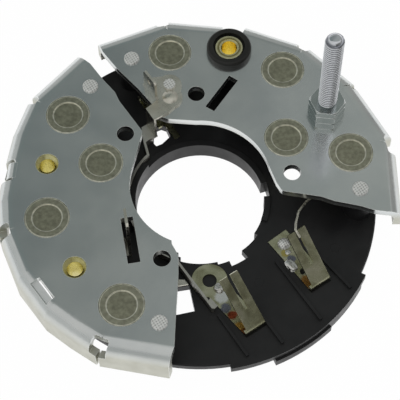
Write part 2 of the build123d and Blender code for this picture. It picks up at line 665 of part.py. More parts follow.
def phase_terminal(number):
    """A sheet strip folded into a V that takes a stator lead, with a slot for the diode lead."""
    x, y, direction, leaf_direction, rise, base, length = PHASE_CLIPS[number]
    low = DECK_TOP - CLIP_SEAT
    width = CLIP_WIDTHS[number]
    spare = width - LEAF_W
    side = Plane(origin=(0, width / 2, 0), x_dir=(1, 0, 0), z_dir=(0, -1, 0))
    leaf = extrude(side * make_face(clip_leaf_profile(rise, length)), width)
    leaf -= clip_slot(rise, length, spare / 2)
    if spare > 0:
        trim = Box(2 * length, spare, SINK_TOP, align=(Align.CENTER, Align.MIN, Align.MIN))
        leaf -= Pos(0, -width / 2, low + CLIP_T + 2 * CLIP_BEND) * trim
    strip = Box(base, width, CLIP_T, align=(Align.MAX, Align.CENTER, Align.MIN))
    clip = turned_at(x, y, direction) * Pos(0, 0, low) * strip
    clip += turned_at(x, y, leaf_direction) * leaf
    if number == EYE_CLIP:
        clip += disc(*CLIP_EYE, CLIP_EYE_R, low, low + CLIP_T)
        return clip - disc(*CLIP_EYE, CLIP_EYE_HOLE_R, low - 1, low + CLIP_T + 1)
    if number == TONGUE_CLIP:
        clip += clip_tongue(0, low, low + CLIP_T)
    return clip - disc(*clip_end(number, CLIP_RIVET_SETBACK), CLIP_RIVET_R, low - 1, low + CLIP_T + 1)


def neutral_terminal():
    """The flat terminal beside the deck's window, mostly under the negative sheet."""
    plate = prism(NEUTRAL_OUTLINE, DECK_TOP, DECK_TOP + CLIP_T)
    return plate - disc(*NEUTRAL_RIVET, CLIP_RIVET_R, DECK_TOP - 1, DECK_TOP + CLIP_T + 1)


def domed_head(x, y, radius, height, low):
    """A round rivet head: the cap of a sphere."""
    sphere_r = (radius ** 2 + height ** 2) / (2 * height)
    ball = Pos(x, y, low + height - sphere_r) * Sphere(sphere_r)
    return ball & disc(x, y, radius, low, low + height)


def deck_rivets():
    """Small domed rivets that hold the terminals' bases on the deck."""
    rivets = []
    for x, y in deck_rivet_places():
        seat = DECK_TOP + CLIP_T - (0 if (x, y) == NEUTRAL_RIVET else CLIP_SEAT)
        head = domed_head(x, y, CLIP_RIVET_HEAD_R, CLIP_RIVET_HEAD_T, seat)
        rivets.append(head + disc(x, y, CLIP_RIVET_R, DECK_TOP - DECK_T, seat))
    return Compound(rivets)


def upright_blade(foot, low, high):
    """A spade blade standing on the line between two plan points, its tip corners cut."""
    (x0, y0), (x1, y1) = foot
    length = math.dist(*foot)
    angle = math.degrees(math.atan2(y1 - y0, x1 - x0))
    spare = max(length - BLADE_W, 0) / 2
    side = [(0, low), (length, low), (length, low + BLADE_T), (length - spare, low + 2 * BLADE_T),
            (length - spare, high - BLADE_TIP), (length - spare - BLADE_TIP / 2, high),
            (spare + BLADE_TIP / 2, high), (spare, high - BLADE_TIP), (spare, low + 2 * BLADE_T),
            (0, low + BLADE_T)]
    plane = Plane(origin=(0, BLADE_T / 2, 0), x_dir=(1, 0, 0), z_dir=(0, -1, 0))
    blade = extrude(plane * make_face(Polyline(*side, close=True)), BLADE_T)
    hole_z = high - BLADE_W / 2
    blade -= Pos(length / 2, 0, hole_z) * Rot(90, 0, 0) * Cylinder(BLADE_HOLE_R, 4 * BLADE_T)
    return Pos(x0, y0, 0) * Rot(0, 0, angle) * blade


def blade_terminal():
    """The spade that stands in the negative sheet's slot, on a foot bent outwards on the deck."""
    (x0, y0), (x1, y1) = BLADE_FOOT_LINE
    blade = upright_blade(BLADE_FOOT_LINE, DECK_TOP, SINK_TOP + BLADE_RISE)
    angle = math.degrees(math.atan2(y1 - y0, x1 - x0))
    foot = Box(BLADE_W, BLADE_FOOT, BLADE_T, align=(Align.MIN, Align.MAX, Align.MIN))
    return blade + Pos(x0, y0, DECK_TOP) * Rot(0, 0, angle) * Pos(0, BLADE_T / 2, 0) * foot


def spade_terminal():
    """Riveted on the positive sheet: a lobed base, a spade, and a strap down to the bus strip's tab."""
    top = SINK_TOP + BLADE_T
    base = prism(SPADE_OUTLINE, SINK_TOP, top)
    for x, y in (SPADE_RIVET, SPADE_DIMPLE):
        base += disc(x, y, SPADE_LOBE_R, SINK_TOP, top)
    base += upright_blade(SPADE_FOOT, SINK_TOP, SINK_TOP + BLADE_RISE + BLADE_T)
    base += ribbon(SPADE_DROP, BLADE_T, BUS_TOP, top)
    base += domed_head(*SPADE_DIMPLE, SPADE_DIMPLE_R, SPADE_DIMPLE_H, top)
    return base - disc(*SPADE_RIVET, CLIP_RIVET_R, SINK_TOP - 1, top + 1)


def spade_rivet():
    x, y = SPADE_RIVET
    top = SINK_TOP + BLADE_T
    under = SINK_TOP - SHEET_T
    rivet = disc(x, y, CLIP_RIVET_R, under, top)
    rivet += disc(x, y, SPADE_RIVET_HEAD_R, top, top + RIVET_HEAD_T)
    return rivet + disc(x, y, SPADE_RIVET_HEAD_R, under - RIVET_HEAD_T, under)


def assembly():
    parts = {
        "base_ring": base_ring(),
        "negative_heat_sink": negative_heat_sink(),
        "positive_heat_sink": positive_heat_sink(),
        "bus_strip_far": bus_strip(0),
        "bus_strip_near": bus_strip(1),
        "neutral_terminal": neutral_terminal(),
        "blade_terminal": blade_terminal(),
        "spade_terminal": spade_terminal(),
        "spade_rivet": spade_rivet(),
        "deck_rivets": deck_rivets(),
        "heat_sink_rivets": heat_sink_rivets(),
        "insulating_bush": insulating_bush(),
        "bush_eyelet": bush_eyelet(),
        "output_stud": output_stud(),
        "stud_locknut": hexagon_nut(SINK_TOP, LOCKNUT_T),
        "stud_nut": hexagon_nut(SINK_TOP + LOCKNUT_T, NUT_T),
    }
    for number in range(len(PHASE_CLIPS)):
        parts[f"phase_terminal_{number + 1}"] = phase_terminal(number)
    for number, (x, y) in enumerate(GROUND_BUSHES, 1):
        parts[f"ground_bush_{number}"] = ground_bush(x, y)
    for polarity, places in (("negative", NEGATIVE_DIODES), ("positive", POSITIVE_DIODES)):
        for number, (x, y) in enumerate(places, 1):
            bent = (x, y) == POSITIVE_DIODES[-1]
            parts[f"{polarity}_diode_{number}"] = diode_cup(x, y)
            parts[f"{polarity}_chip_{number}"] = diode_chip(x, y)
            parts[f"{polarity}_seal_{number}"] = diode_seal(x, y)
            parts[f"{polarity}_lead_{number}"] = bent_lead(x, y) if bent else straight_lead(x, y)
    return parts


os.makedirs("parts", exist_ok=True)
for name, shape in assembly().items():
    export_step(shape, f"parts/{name}.step")
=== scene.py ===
import bpy
import json
import math
from mathutils import Euler, Matrix, Vector, noise


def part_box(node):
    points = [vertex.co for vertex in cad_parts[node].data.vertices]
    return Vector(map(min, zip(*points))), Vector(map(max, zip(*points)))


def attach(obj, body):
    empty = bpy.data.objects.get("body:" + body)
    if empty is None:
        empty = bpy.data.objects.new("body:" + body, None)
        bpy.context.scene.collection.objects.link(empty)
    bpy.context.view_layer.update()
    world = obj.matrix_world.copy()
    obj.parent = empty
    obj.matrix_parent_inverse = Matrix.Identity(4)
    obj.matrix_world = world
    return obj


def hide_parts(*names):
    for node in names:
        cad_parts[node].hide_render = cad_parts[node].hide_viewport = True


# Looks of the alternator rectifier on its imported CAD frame. Metres, Z up, origin on the bore's axis.

MM = 0.001
PLATE_Z = 18.6 * MM
DECK_Z = 5.8 * MM

# Camera, as fitted to the photograph
CAM_TARGET = Vector((0.0, -6.1 * MM, PLATE_Z))
CAM_DISTANCE = 0.450
CAM_ELEVATION = 61.94
CAM_ROLL = -1.0
CAM_LENS = 132.5457
CAM_SENSOR = 36.0

# Output stud: head (radius, underside, top), held shank, thread, softened edges, tip. The thread's crest and
# flank are shares of half a pitch, and it has so many rows of points to a turn
STUD_CENTRE = (40.3, 25.2)
STUD_XY = (STUD_CENTRE[0] * MM, STUD_CENTRE[1] * MM)
STUD_HEAD = (5.6 * MM, 13.5 * MM, 16.1 * MM)
STUD_HELD_R = 2.65 * MM
THREAD_START = 24.6 * MM
THREAD_R = 2.97 * MM
THREAD_DEPTH = 0.6 * MM
THREAD_PITCH = 1.0 * MM
THREAD_CREST = 0.14
THREAD_FLANK = 0.64
THREAD_ROWS = 12
STUD_SIDES = 48
STUD_EASE = 0.12 * MM
TIP_CHAMFER = 1.3 * MM
TIP_STEPS = 4
TIP_EASE = 0.15 * MM
TIP_DOME = 0.04 * MM
TIP_DOME_SHARE = 0.55

# The negative sheet's last flange in plan, in mm: its ends in the CAD, where the second end goes, how deep
# the flange and its bend reach in from its face, and where the shift has faded out on the flat
NEAR_FLANGE = (Vector((-30.73, -54.77)), Vector((-10.36, -61.94)))
NEAR_FLANGE_END = Vector((-9.9, -59.0))
NEAR_FLANGE_BEND = 5.5
NEAR_FLANGE_FADE = 11.5
# Shares of that flange's length: where the flat starts to follow, and how far past the end the sheet does
NEAR_FLANGE_CORNER = 0.8
NEAR_FLANGE_PAST = 1.2

# Centres of the diode cups and of the insulated screw's collar, in mm
DIODES = [(-41.2, 25.2), (-30.5, 7.6), (-46.6, -11.2), (-23.6, -40.6),
          (-8.9, 48.0), (27.2, 40.7), (27.3, 15.5), (47.1, 9.7)]
COLLAR_XY = (10.2, 48.5)

# Low round marks that ejector pins left in the deck, in mm: centres, radius, half the line's width
EJECTOR_MARKS = [(17.6, -28.1), (41.6, -17.0)]
EJECTOR_R = 1.5
EJECTOR_TUBE = 0.14
EJECTOR_SIDES = 32

# Solder on the clips: centre, half sizes in mm, turn in plan in degrees, and its uneven skin
SOLDER = [((27.8, -23.0, 6.0), (2.5, 1.5, 0.8), -53.5), ((5.2, -30.2, 6.0), (1.9, 1.5, 0.9), -49.5),
          ((26.9, -18.2, 6.0), (1.0, 0.9, 0.35), 0.0)]
LUMP_DEPTH = 0.28
LUMP_FINENESS = 1.6

# Cards that only reflections show, in metres: the grey behind, the light one overhead, the low wall
# all round and the dark one in front on the right
BACK_CARD_ELEVATION = 58.0
BACK_CARD_DISTANCE = 1.6
BACK_CARD_SIZE = (2.4, 1.2)
BACK_CARD_FADE = 0.30
BACK_CARD_SLANT = 0.6
BACK_CARD_GREYS = [(0.0, (0.33, 0.35, 0.335)), (0.15, (0.32, 0.345, 0.335)), (0.42, (0.247, 0.264, 0.26)),
                   (0.56, (0.21, 0.23, 0.215)), (0.76, (0.168, 0.19, 0.19)), (1.0, (0.19, 0.22, 0.215))]
CEILING_Z = 2.2
CEILING_SIZE = (6.4, 6.4)
CEILING_GREYS = [(0.0, (0.66, 0.66, 0.65)), (1.0, (0.58, 0.58, 0.57))]
HORIZON_R = 1.9
HORIZON_HEIGHT = 1.5
HORIZON_LIFT = 0.02
HORIZON_GREYS = [(0.0, (0.54, 0.55, 0.54)), (0.5, (0.38, 0.39, 0.38)), (1.0, (0.30, 0.30, 0.29))]
FRONT_CARD_AT = (0.75, -0.75, 1.10)
FRONT_CARD_SIZE = (1.3, 0.9)
FRONT_CARD_GREYS = [(0.0, (0.12, 0.12, 0.115)), (1.0, (0.26, 0.26, 0.25))]

# Floor and world: the floor's size in metres, how far it lies under the ring, how white it is seen directly,
# and how strongly the world lights the object
FLOOR_SIZE = 8.0
FLOOR_DROP = 0.2 * MM
FLOOR_WHITE = 0.985
WORLD_LIGHT = 0.5

# Lamps: place and size in metres, watts
KEY_LAMP = ((-0.62, -0.28, 1.15), (1.4, 1.0), 3.6)
SIDE_LAMP = ((0.80, 0.62, 0.92), (0.8, 0.7), 1.6)
LAMP_AIM = Vector((0, 0, 0.01))

# Softened edges that catch the light, and how far in from an edge a painted highlight makes the plating pale
EDGE_R = 0.14 * MM
FINE_EDGE_R = 0.06 * MM
SHEET_EDGE_HIGHLIGHT = 0.3 * MM
NUT_EDGE_HIGHLIGHT = 0.45 * MM

# A noise's usual spread, and how well a rounded edge's normal matches the face's, far from it and on it
NOISE_SPREAD = (0.3, 0.7)
EDGE_MATCH = (0.99, 0.92)

# Heights between which the bent skirts' colour and their worked, duller skin fade out
SKIRT_COLOUR_Z = (13.5 * MM, 17.0 * MM)
WORKED_Z = (16.0 * MM, 18.55 * MM)
WORKED_ROUGHNESS = 0.22

# Painted highlights as bright lines on the diode cups and their fade, as radii in mm, and the lines pressed
# on the rivets' heads
CUP_REACH = 8.0
DISH_HIGHLIGHT = (4.5, 4.75)
RIM_HIGHLIGHT = (6.55, 7.0)
HIGHLIGHT_FADE = 0.15
HATCH_PITCH = 0.95 * MM
HATCH_SLOPES = (0.55, 0.7)

# Stains and bare patches on the clips: centre and radius in mm, colour, then how ragged their edges are
# and the share of the radius inside which they are full
BROWN, RUST, OLIVE, BARE, SMOKE = ((0.22, 0.09, 0.03), (0.34, 0.08, 0.04), (0.50, 0.42, 0.14),
                                   (0.80, 0.80, 0.78), (0.20, 0.21, 0.26))
CLIP_STAINS = [
    ((32.2, -28.4, 6.0), 2.6, (0.42, 0.22, 0.07)), ((31.1, -24.9, 6.0), 1.2, (0.03, 0.03, 0.03)),
    ((26.0, -18.6, 6.0), 1.5, OLIVE), ((27.9, -20.6, 6.0), 1.6, SMOKE), ((34.6, -30.3, 6.0), 1.5, BROWN),
    ((6.1, -32.9, 6.0), 2.4, BARE), ((7.2, -36.8, 6.0), 1.9, SMOKE), ((9.2, -39.0, 6.0), 1.7, RUST),
    ((11.2, -42.9, 6.0), 2.0, (0.50, 0.30, 0.08)), ((12.4, -44.6, 6.0), 1.3, BROWN),
]
STAIN_RAGGED = 0.35
STAIN_FULL = 0.7


def set_camera():
    data = bpy.data.cameras.new("camera")
    data.lens = CAM_LENS
    data.sensor_width = CAM_SENSOR
    data.clip_start = 0.01
    camera = bpy.data.objects.new("camera", data)
    bpy.context.scene.collection.objects.link(camera)
    tilt = math.radians(CAM_ELEVATION)
    back = Vector((0, -math.cos(tilt), math.sin(tilt)))
    camera.location = CAM_TARGET + CAM_DISTANCE * back
    turn = Euler((math.pi / 2 - tilt, 0, 0)).to_matrix() @ Matrix.Rotation(math.radians(CAM_ROLL), 3, "Z")
    camera.rotation_euler = turn.to_euler()
    bpy.context.scene.camera = camera


def empty_material(name):
    material = bpy.data.materials.new(name)
    material.use_nodes = True
    tree = material.node_tree
    tree.nodes.clear()
    output = tree.nodes.new("ShaderNodeOutputMaterial")
    return material, tree, output.inputs["Surface"]


def new_material(name, metallic=0.0):
    material, tree, surface = empty_material(name)
    shader = tree.nodes.new("ShaderNodeBsdfPrincipled")
    shader.inputs["Metallic"].default_value = metallic
    tree.links.new(shader.outputs["BSDF"], surface)
    return material, tree, shader


def feed(tree, socket, value):
    """Gives a socket a number or a colour, or links another node's output to it."""
    if isinstance(value, bpy.types.NodeSocket):
        tree.links.new(value, socket)
    elif isinstance(value, tuple):
        socket.default_value = (*value, 1.0)
    else:
        socket.default_value = value


def object_coords(tree):
    return tree.nodes.new("ShaderNodeTexCoord").outputs["Object"]


def noise_value(tree, scale, detail=3.0, distortion=0.0):
    texture = tree.nodes.new("ShaderNodeTexNoise")
    texture.inputs["Scale"].default_value = scale
    texture.inputs["Detail"].default_value = detail
    texture.inputs["Distortion"].default_value = distortion
    tree.links.new(object_coords(tree), texture.inputs["Vector"])
    return texture.outputs["Fac"]


def ramp(tree, value, stops):
    node = tree.nodes.new("ShaderNodeValToRGB")
    elements = node.color_ramp.elements
    while len(elements) > len(stops):
        elements.remove(elements[-1])
    while len(elements) < len(stops):
        elements.new(1.0)
    for element, (place, colour) in zip(elements, stops):
        element.position = place
        element.color = (*colour, 1.0)
    tree.links.new(value, node.inputs["Fac"])
    return node.outputs["Color"]


def map_range(tree, value, low, high, to_low=0.0, to_high=1.0):
    node = tree.nodes.new("ShaderNodeMapRange")
    node.inputs["From Min"].default_value = low
    node.inputs["From Max"].default_value = high
    node.inputs["To Min"].default_value = to_low
    node.inputs["To Max"].default_value = to_high
    tree.links.new(value, node.inputs["Value"])
    return node.outputs["Result"]


def grey_range(tree, value, low, high):
    """A noise's usual spread, spread out between two values."""
    return map_range(tree, value, *NOISE_SPREAD, low, high)


def math_node(tree, operation, first, second):
    node = tree.nodes.new("ShaderNodeMath")
    node.operation = operation
    feed(tree, node.inputs[0], first)
    feed(tree, node.inputs[1], second)
    return node.outputs["Value"]


def bump(tree, shader, height, strength, distance, edge_r=EDGE_R):
    """A fine relief over slightly rounded edges."""
    edge = tree.nodes.new("ShaderNodeBevel")
    edge.samples = 4
    edge.inputs["Radius"].default_value = edge_r
    node = tree.nodes.new("ShaderNodeBump")
    tree.links.new(edge.outputs["Normal"], node.inputs["Normal"])
    node.inputs["Strength"].default_value = strength
    node.inputs["Distance"].default_value = distance
    tree.links.new(height, node.inputs["Height"])
    tree.links.new(node.outputs["Normal"], shader.inputs["Normal"])


def metal(name, light, dark, roughness, patch=300.0, grain=900.0, grain_mm=0.01, edge_r=EDGE_R):
    """A plated or raw metal: colour and roughness vary in soft patches, and the face has a fine grain."""
    material, tree, shader = new_material(name, metallic=1.0)
    patches = noise_value(tree, patch, 4.0)
    feed(tree, shader.inputs["Base Color"], ramp(tree, patches, [(0.35, dark), (0.65, light)]))
    feed(tree, shader.inputs["Roughness"], grey_range(tree, noise_value(tree, patch * 3, 3.0), *roughness))
    bump(tree, shader, noise_value(tree, grain, 2.0), 0.3, grain_mm * MM, edge_r)
    return material


def height_share(tree, low, high):
    """0 at a height and below, 1 at a greater one and above."""
    axes = tree.nodes.new("ShaderNodeSeparateXYZ")
    tree.links.new(object_coords(tree), axes.inputs["Vector"])
    return map_range(tree, axes.outputs["Z"], low, high)


def spot(tree, centre, radius):
    """1 at a point, fading to 0 at a ragged edge round it."""
    distance = tree.nodes.new("ShaderNodeVectorMath")
    distance.operation = "DISTANCE"
    distance.inputs[1].default_value = [value * MM for value in centre]
    tree.links.new(object_coords(tree), distance.inputs[0])
    noisy = math_node(tree, "MULTIPLY", math_node(tree, "SUBTRACT", noise_value(tree, 700.0), 0.5),
                      2 * STAIN_RAGGED * radius * MM)
    reach = math_node(tree, "ADD", distance.outputs["Value"], noisy)
    return map_range(tree, reach, radius * MM, STAIN_FULL * radius * MM)


def blend(tree, share, first, second, mode="MIX"):
    """The second colour over the first, by a share."""
    node = tree.nodes.new("ShaderNodeMix")
    node.data_type = "RGBA"
    node.blend_type = mode
    feed(tree, node.inputs["Factor"], share)
    feed(tree, node.inputs[6], first)
    feed(tree, node.inputs[7], second)
    return node.outputs[2]


def edge_share(tree, radius):
    """1 along a hard edge, fading to 0 at about a radius from it."""
    rounded = tree.nodes.new("ShaderNodeBevel")
    rounded.inputs["Radius"].default_value = radius
    face = tree.nodes.new("ShaderNodeNewGeometry")
    match = tree.nodes.new("ShaderNodeVectorMath")
    match.operation = "DOT_PRODUCT"
    tree.links.new(rounded.outputs["Normal"], match.inputs[0])
    tree.links.new(face.outputs["Normal"], match.inputs[1])
    return map_range(tree, match.outputs["Value"], *EDGE_MATCH)


def sink_zinc():
    """Satin zinc sheet: cool on the flat, a little warmer and duller down the bent skirts."""
    material, tree, shader = new_material("sink_zinc", metallic=1.0)
    flat_stops = [(0.32, (0.66, 0.69, 0.69)), (0.68, (0.76, 0.78, 0.77))]
    skirt_stops = [(0.35, (0.52, 0.52, 0.45)), (0.65, (0.62, 0.62, 0.55))]
    flat = ramp(tree, noise_value(tree, 70.0, 6.0), flat_stops)
    skirt = ramp(tree, noise_value(tree, 160.0, 4.0), skirt_stops)
    colour = blend(tree, height_share(tree, *SKIRT_COLOUR_Z), skirt, flat)
    # Painted highlight: the sheet's hard edges are lightened nearly to white
    colour = blend(tree, edge_share(tree, SHEET_EDGE_HIGHLIGHT), colour, (0.96, 0.97, 0.95))
    feed(tree, shader.inputs["Base Color"], colour)
    smooth = grey_range(tree, noise_value(tree, 75.0, 4.0), 0.15, 0.22)
    below = math_node(tree, "SUBTRACT", 1.0, height_share(tree, *WORKED_Z))
    worked = math_node(tree, "MULTIPLY", below, WORKED_ROUGHNESS)
    feed(tree, shader.inputs["Roughness"], math_node(tree, "ADD", smooth, worked))
    broad_dents = math_node(tree, "MULTIPLY", noise_value(tree, 130.0, 3.0), 4.0)
    dents = math_node(tree, "ADD", noise_value(tree, 900.0, 3.0), broad_dents)
    bump(tree, shader, dents, 0.5, 0.014 * MM)
    return material


def nearest_radius(tree, centres):
    """Distance in plan, in mm, from the nearest of some centres."""
    flat = tree.nodes.new("ShaderNodeVectorMath")
    flat.operation = "MULTIPLY"
    flat.inputs[1].default_value = (1 / MM, 1 / MM, 0)
    tree.links.new(object_coords(tree), flat.inputs[0])
    nearest = None
    for x, y in centres:
        distance = tree.nodes.new("ShaderNodeVectorMath")
        distance.operation = "DISTANCE"
        distance.inputs[1].default_value = (x, y, 0)
        tree.links.new(flat.outputs["Vector"], distance.inputs[0])
        value = distance.outputs["Value"]
        nearest = value if nearest is None else math_node(tree, "MINIMUM", nearest, value)
    return nearest


def turned_metal(name, centres, reach, stops, roughness, mottle):
    """A metal whose colour goes by the radius from its centre, out to a reach in mm, with fine mottling."""
    material, tree, shader = new_material(name, metallic=1.0)
    share = math_node(tree, "DIVIDE", nearest_radius(tree, centres), reach)
    rings = ramp(tree, share, [(radius / reach, colour) for radius, colour in stops])
    shade = ramp(tree, noise_value(tree, 900.0, 5.0), [(0.3, (mottle,) * 3), (0.7, (1, 1, 1))])
    feed(tree, shader.inputs["Base Color"], blend(tree, 1.0, rings, shade, "MULTIPLY"))
    feed(tree, shader.inputs["Roughness"], grey_range(tree, noise_value(tree, 600.0), *roughness))
    bump(tree, shader, noise_value(tree, 1500.0, 3.0), 0.35, 0.03 * MM)
    return material


def cup_plating():
    """Dull plated cups with a painted highlight as a bright line round the dish and round the rim."""
    dull, rim, line = (0.43, 0.42, 0.31), (0.47, 0.46, 0.35), (1.0, 0.98, 0.84)
    # The bright lines are painted highlights on the dish's edge and the rim's edge
    stops = [(0.0, dull), (DISH_HIGHLIGHT[0] - HIGHLIGHT_FADE, dull), (DISH_HIGHLIGHT[0], line),
             (DISH_HIGHLIGHT[1], line), (DISH_HIGHLIGHT[1] + HIGHLIGHT_FADE, rim),
             (RIM_HIGHLIGHT[0] - HIGHLIGHT_FADE, rim), (RIM_HIGHLIGHT[0], line), (RIM_HIGHLIGHT[1], line)]
    return turned_metal("cup_plating", DIODES, CUP_REACH, stops, (0.30, 0.40), 0.62)


def eyelet_brass():
    """Brass with a painted highlight on the lip inside and outside, and painted shade in the groove between.
    """
    # The pale lips are painted highlights and the dark groove is painted shade
    deep, lip_highlight, groove_shade = (1.0, 0.86, 0.32), (1.0, 0.94, 0.60), (0.30, 0.25, 0.10)
    stops = [(0.0, deep), (2.6, deep), (2.75, lip_highlight), (3.1, lip_highlight), (3.3, groove_shade), (3.75, (0.62, 0.55, 0.28)),
             (4.0, lip_highlight), (4.6, lip_highlight)]
    return turned_metal("eyelet_brass", [COLLAR_XY], 6.0, stops, (0.18, 0.28), 0.75)


def bright_brass():
    light, dark = (0.82, 0.77, 0.42), (0.62, 0.56, 0.24)
    return metal("bright_brass", light, dark, (0.20, 0.30), patch=350.0, grain=1500.0)


def strip_metal():
    light, dark = (0.62, 0.61, 0.57), (0.48, 0.46, 0.41)
    return metal("strip_metal", light, dark, (0.28, 0.42), patch=120.0, grain=1200.0)


def terminal_tin():
    light, dark = (0.76, 0.74, 0.66), (0.60, 0.58, 0.50)
    return metal("terminal_tin", light, dark, (0.24, 0.34), patch=160.0, grain=1200.0, grain_mm=0.004,
                 edge_r=FINE_EDGE_R)


def clip_plating():
    """Yellow-passivated strip with brown and grey stains."""
    material, tree, shader = new_material("clip_plating", metallic=1.0)
    shades = noise_value(tree, 210.0, 5.0, distortion=0.6)
    colours = [(0.30, (0.29, 0.28, 0.17)), (0.50, (0.46, 0.46, 0.31)), (0.72, (0.60, 0.58, 0.44))]
    colour = ramp(tree, shades, colours)
    for centre, radius, stain in CLIP_STAINS:
        colour = blend(tree, spot(tree, centre, radius), colour, stain)
    feed(tree, shader.inputs["Base Color"], colour)
    feed(tree, shader.inputs["Roughness"], grey_range(tree, noise_value(tree, 400.0), 0.18, 0.34))
    bump(tree, shader, noise_value(tree, 1500.0), 0.25, 0.01 * MM)
    return material


def bright_zinc():
    """Bright crests, with the light lost in the thread's roots."""
    tip, root, flank, crest = (0.84, 0.86, 0.91), (0.20, 0.21, 0.24), (0.32, 0.33, 0.36), (0.92, 0.94, 0.98)
    stops = [(0.0, tip), (1.9, tip), (2.4, root), (2.68, flank), (2.88, crest)]
    return turned_metal("bright_zinc", [STUD_CENTRE], 6.0, stops, (0.10, 0.18), 0.9)


def nut_zinc():
    """Zinc faces with a painted highlight along their edges."""
    material, tree, shader = new_material("nut_zinc", metallic=1.0)
    face_stops = [(0.35, (0.36, 0.40, 0.39)), (0.65, (0.46, 0.50, 0.49))]
    face = ramp(tree, noise_value(tree, 180.0, 4.0), face_stops)
    # Painted highlight: the nut's edges are lightened to white
    feed(tree, shader.inputs["Base Color"], blend(tree, edge_share(tree, NUT_EDGE_HIGHLIGHT), face, (1.0, 1.0, 1.0)))
    shader.inputs["Roughness"].default_value = 0.16
    bump(tree, shader, noise_value(tree, 600.0), 0.2, 0.001 * MM, FINE_EDGE_R)
    return material


def silicon():
    return metal("silicon", (0.30, 0.31, 0.34), (0.22, 0.23, 0.26), (0.15, 0.25))


def hatched_rivet():
    """Light staked heads with two crossing sets of pressed lines."""
    material, tree, shader = new_material("hatched_rivet", metallic=0.85)
    axes = tree.nodes.new("ShaderNodeSeparateXYZ")
    tree.links.new(object_coords(tree), axes.inputs["Vector"])
    x, y = axes.outputs["X"], axes.outputs["Y"]
    first_slope, second_slope = HATCH_SLOPES
    first = math_node(tree, "ADD", x, math_node(tree, "MULTIPLY", y, first_slope))
    second = math_node(tree, "SUBTRACT", y, math_node(tree, "MULTIPLY", x, second_slope))
    lines = []
    for across in (first, second):
        turns = math_node(tree, "MULTIPLY", across, 1 / HATCH_PITCH)
        lines.append(math_node(tree, "PINGPONG", turns, 0.5))
    height = math_node(tree, "ADD", *lines)
    # Colour follows the pressed lines' relief, with noise: darker in their grooves, lighter on their ridges
    relief_tone = math_node(tree, "ADD", height, math_node(tree, "MULTIPLY", noise_value(tree, 900.0), 0.5))
    relief_tone_stops = [(0.35, (0.42, 0.42, 0.40)), (0.80, (0.90, 0.90, 0.88))]
    feed(tree, shader.inputs["Base Color"], ramp(tree, relief_tone, relief_tone_stops))
    shader.inputs["Roughness"].default_value = 0.42
    bump(tree, shader, height, 0.6, 0.16 * MM)
    return material


def plastic(name, dark, light, roughness, grain_mm):
    """A moulded piece's faintly patchy, grained skin."""
    material, tree, shader = new_material(name)
    patches = noise_value(tree, 90.0, 5.0)
    feed(tree, shader.inputs["Base Color"], ramp(tree, patches, [(0.35, dark), (0.7, light)]))
    feed(tree, shader.inputs["Roughness"], grey_range(tree, noise_value(tree, 250.0), *roughness))
    shader.inputs["Specular IOR Level"].default_value = 0.35
    bump(tree, shader, noise_value(tree, 1800.0, 2.0), 0.3, grain_mm * MM)
    return material


def ring_plastic():
    return plastic("ring_plastic", (0.007, 0.007, 0.0075), (0.014, 0.014, 0.0145), (0.34, 0.46), 0.03)


def collar_plastic():
    return plastic("collar_plastic", (0.009, 0.009, 0.008), (0.016, 0.016, 0.014), (0.28, 0.38), 0.01)


def potting():
    return plastic("potting", (0.02, 0.02, 0.02), (0.04, 0.04, 0.04), (0.35, 0.5), 0.03)


def solder():
    return metal("solder", (0.84, 0.84, 0.82), (0.60, 0.59, 0.56), (0.22, 0.32))


def dress(frame, materials, own):
    """Gives each CAD node the material of its record slot, or one of its own."""
    slots = {entry["node"]: entry["material_slot"] for entry in frame["record"]["subparts"]}
    for name, node in frame["nodes"].items():
        node.data.materials.clear()
        node.data.materials.append(own.get(name) or materials[slots[name]])


def add_piece(name, vertices, faces, material):
    mesh = bpy.data.meshes.new(name)
    mesh.from_pydata(vertices, [], faces)
    mesh.validate()
    mesh.update()
    for face in mesh.polygons:
        face.use_smooth = True
    piece = bpy.data.objects.new(name, mesh)
    bpy.context.scene.collection.objects.link(piece)
    mesh.materials.append(material)
    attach(piece, "root")
    return piece


def seen_directly(tree, share):
    """A share for what the camera sees directly, in a mirror or through glass, and none for other light."""
    path = tree.nodes.new("ShaderNodeLightPath")
    seen = math_node(tree, "MAXIMUM", path.outputs["Is Camera Ray"], path.outputs["Is Glossy Ray"])
    seen = math_node(tree, "MAXIMUM", seen, path.outputs["Is Transmission Ray"])
    return math_node(tree, "MULTIPLY", seen, share)


def white_floor():
    """A white floor that keeps a trace of the object's shadow."""
    bpy.ops.mesh.primitive_plane_add(size=FLOOR_SIZE, location=(0, 0, -FLOOR_DROP))
    floor = bpy.context.object
    floor.name = "floor"
    material, tree, surface = empty_material("floor")
    diffuse = tree.nodes.new("ShaderNodeBsdfDiffuse")
    feed(tree, diffuse.inputs["Color"], (0.9, 0.9, 0.9))
    white = tree.nodes.new("ShaderNodeEmission")
    mix = tree.nodes.new("ShaderNodeMixShader")
    feed(tree, mix.inputs["Fac"], seen_directly(tree, FLOOR_WHITE))
    feed(tree, mix.inputs[1], diffuse.outputs["BSDF"])
    feed(tree, mix.inputs[2], white.outputs["Emission"])
    feed(tree, surface, mix.outputs["Shader"])
    floor.data.materials.append(material)


def glowing(name, card, along, stops, reach):
    """A card's own glow, which changes along a direction on it, and which only reflections show."""
    material, tree, surface = empty_material(name)
    glow = tree.nodes.new("ShaderNodeEmission")
    place = tree.nodes.new("ShaderNodeVectorMath")
    place.operation = "DOT_PRODUCT"
    place.inputs[1].default_value = along
    tree.links.new(object_coords(tree), place.inputs[0])
    share = map_range(tree, place.outputs["Value"], -reach, reach)
    feed(tree, glow.inputs["Color"], ramp(tree, share, stops))
    feed(tree, surface, glow.outputs["Emission"])
    card.name = name
    card.data.materials.append(material)
    card.visible_shadow = False
    card.visible_camera = False


